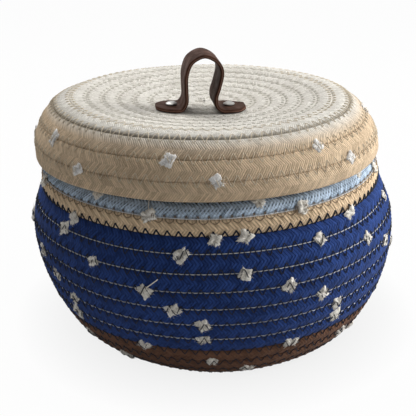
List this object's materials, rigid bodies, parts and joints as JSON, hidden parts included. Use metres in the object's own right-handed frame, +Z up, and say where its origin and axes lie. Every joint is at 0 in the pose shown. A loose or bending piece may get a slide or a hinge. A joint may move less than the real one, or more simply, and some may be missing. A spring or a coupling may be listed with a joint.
{
  "type": "knitting basket",
  "caption": "Round basket of coiled, sewn cotton rope with a bulging bowl and a narrow neck, and a lift-off coiled lid with a leather loop pull; fluffy yarn tufts sit in the seams.",
  "frame": {"origin": "middle of the basket's foot, on the surface that it stands on", "axes": "+Z up along the coil's axis, -Y the side that the picture shows, +X to its right"},
  "size_m": [0.2443, 0.2439, 0.1874],
  "materials": {
    "brown_rope": "matt braided cotton",
    "blue_rope": "matt braided cotton",
    "natural_rope": "matt braided cotton",
    "light_blue_rope": "matt braided cotton",
    "cream_rope": "matt braided cotton",
    "cotton_tuft": "fluffy",
    "leather": "satin",
    "steel": "polished, a little worn"
  },
  "bodies": {
    "basket": {"base_rope": "brown_rope", "blue_rope": "blue_rope", "natural_band_rope": "natural_rope", "light_blue_rope": "light_blue_rope", "tufted_yarn_basket": "cotton_tuft"},
    "lid": {"lid_rope": "cream_rope", "handle_strap": "leather", "handle_screw_left": "steel", "handle_screw_right": "steel", "handle_washer_left": "steel", "handle_washer_right": "steel", "handle_nut_left": "steel", "handle_nut_right": "steel", "tufted_yarn_lid": "cotton_tuft"}
  },
  "joints": [
    {"name": "lid_lift", "type": "slide", "parent": "basket", "child": "lid", "axis": [0, 0, 1], "range_m": [0, 0.05]}
  ]
}
